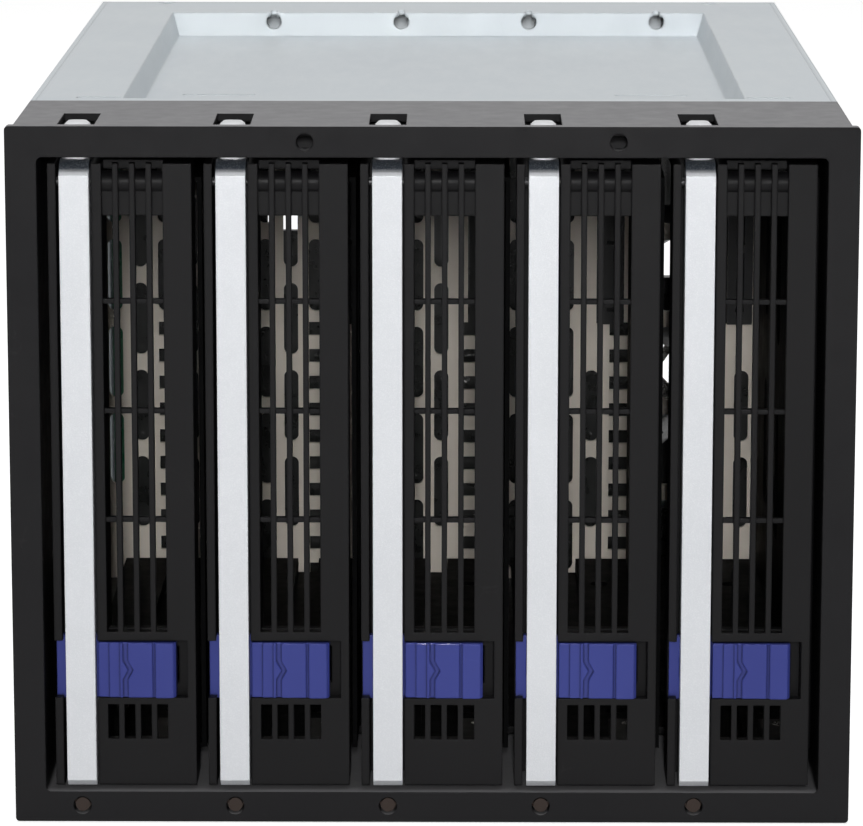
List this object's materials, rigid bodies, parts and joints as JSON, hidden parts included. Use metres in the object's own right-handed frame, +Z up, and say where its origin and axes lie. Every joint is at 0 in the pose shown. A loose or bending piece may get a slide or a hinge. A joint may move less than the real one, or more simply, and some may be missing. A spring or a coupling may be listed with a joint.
{
  "type": "hot swap drive cage",
  "caption": "Drive cage for three stacked half-height bays: upright drive trays with swing levers and slide latches, backplane and rear fan in a steel chassis.",
  "frame": {"origin": "centre of the bounding box at the underside", "axes": "+X to the right seen from the front, +Y to the rear along the tray slides, +Z up"},
  "size_m": [0.148, 0.2114, 0.1245],
  "materials": {
    "black_plastic": "fine textured black moulding",
    "tray_black": "fine textured black moulding",
    "smoked_lens": "smoked brown lens",
    "satin_steel": "pale blue-grey satin sheet",
    "galvanised": "galvanised sheet",
    "black_pan": "black painted sheet",
    "green_board": "green solder mask",
    "bright_screw": "bright plated steel",
    "black_screw": "black plated steel",
    "socket_black": "black connector moulding",
    "inlet_white": "natural white connector moulding",
    "fan_black": "black fan moulding",
    "silver_lever": "silver metallic paint with fine sparkle",
    "blue_latch": "blue moulding, semi-gloss"
  },
  "bodies": {
    "cage": {"front_frame": "black_plastic", "led_lenses": "smoked_lens", "chassis_shell": "satin_steel", "top_cover": "satin_steel", "rear_panel": "satin_steel", "guide_bottom": "black_plastic", "guide_top": "black_plastic", "backplane_bracket": "galvanised", "backplane_board": "green_board", "board_screws": "bright_screw", "drive_sockets": "socket_black", "data_ports": "socket_black", "power_inlets": "inlet_white", "fan_frame": "fan_black", "fan_guard": "bright_screw", "fan_screws": "black_screw"},
    "fan_rotor": {"fan_rotor": "fan_black"},
    "tray_1": {"tray_bezel_1": "tray_black", "tray_pan_1": "black_pan", "tray_screws_1": "bright_screw", "lever_pin_1": "bright_screw"},
    "lever_1": {"lever_1": "silver_lever"},
    "latch_1": {"latch_1": "blue_latch"},
    "tray_2": {"tray_bezel_2": "tray_black", "tray_pan_2": "black_pan", "tray_screws_2": "bright_screw", "lever_pin_2": "bright_screw"},
    "lever_2": {"lever_2": "silver_lever"},
    "latch_2": {"latch_2": "blue_latch"},
    "tray_3": {"tray_bezel_3": "tray_black", "tray_pan_3": "black_pan", "tray_screws_3": "bright_screw", "lever_pin_3": "bright_screw"},
    "lever_3": {"lever_3": "silver_lever"},
    "latch_3": {"latch_3": "blue_latch"},
    "tray_4": {"tray_bezel_4": "tray_black", "tray_pan_4": "black_pan", "tray_screws_4": "bright_screw", "lever_pin_4": "bright_screw"},
    "lever_4": {"lever_4": "silver_lever"},
    "latch_4": {"latch_4": "blue_latch"},
    "tray_5": {"tray_bezel_5": "tray_black", "tray_pan_5": "black_pan", "tray_screws_5": "bright_screw", "lever_pin_5": "bright_screw"},
    "lever_5": {"lever_5": "silver_lever"},
    "latch_5": {"latch_5": "blue_latch"}
  },
  "joints": [
    {"name": "fan_spin", "type": "hinge", "parent": "cage", "child": "fan_rotor", "pos_m": [0.026, 0.0893, 0.062], "axis": [0, 1, 0], "continuous": true},
    {"name": "tray_1_slide", "type": "slide", "parent": "cage", "child": "tray_1", "axis": [0, -1, 0], "range_m": [0, 0.16]},
    {"name": "lever_1_swing", "type": "hinge", "parent": "tray_1", "child": "lever_1", "pos_m": [-0.0621, -0.1015, 0.1143], "axis": [-1, 0, 0], "range_deg": [0, 80]},
    {"name": "latch_1_press", "type": "slide", "parent": "tray_1", "child": "latch_1", "axis": [1, 0, 0], "range_m": [0, 0.0018], "stiffness_N_per_m": 300},
    {"name": "tray_2_slide", "type": "slide", "parent": "cage", "child": "tray_2", "axis": [0, -1, 0], "range_m": [0, 0.16]},
    {"name": "lever_2_swing", "type": "hinge", "parent": "tray_2", "child": "lever_2", "pos_m": [-0.03495, -0.1015, 0.1143], "axis": [-1, 0, 0], "range_deg": [0, 80]},
    {"name": "latch_2_press", "type": "slide", "parent": "tray_2", "child": "latch_2", "axis": [1, 0, 0], "range_m": [0, 0.0018], "stiffness_N_per_m": 300},
    {"name": "tray_3_slide", "type": "slide", "parent": "cage", "child": "tray_3", "axis": [0, -1, 0], "range_m": [0, 0.16]},
    {"name": "lever_3_swing", "type": "hinge", "parent": "tray_3", "child": "lever_3", "pos_m": [-0.0078, -0.1015, 0.1143], "axis": [-1, 0, 0], "range_deg": [0, 80]},
    {"name": "latch_3_press", "type": "slide", "parent": "tray_3", "child": "latch_3", "axis": [1, 0, 0], "range_m": [0, 0.0018], "stiffness_N_per_m": 300},
    {"name": "tray_4_slide", "type": "slide", "parent": "cage", "child": "tray_4", "axis": [0, -1, 0], "range_m": [0, 0.16]},
    {"name": "lever_4_swing", "type": "hinge", "parent": "tray_4", "child": "lever_4", "pos_m": [0.01935, -0.1015, 0.1143], "axis": [-1, 0, 0], "range_deg": [0, 80]},
    {"name": "latch_4_press", "type": "slide", "parent": "tray_4", "child": "latch_4", "axis": [1, 0, 0], "range_m": [0, 0.0018], "stiffness_N_per_m": 300},
    {"name": "tray_5_slide", "type": "slide", "parent": "cage", "child": "tray_5", "axis": [0, -1, 0], "range_m": [0, 0.16]},
    {"name": "lever_5_swing", "type": "hinge", "parent": "tray_5", "child": "lever_5", "pos_m": [0.0465, -0.1015, 0.1143], "axis": [-1, 0, 0], "range_deg": [0, 80]},
    {"name": "latch_5_press", "type": "slide", "parent": "tray_5", "child": "latch_5", "axis": [1, 0, 0], "range_m": [0, 0.0018], "stiffness_N_per_m": 300}
  ]
}
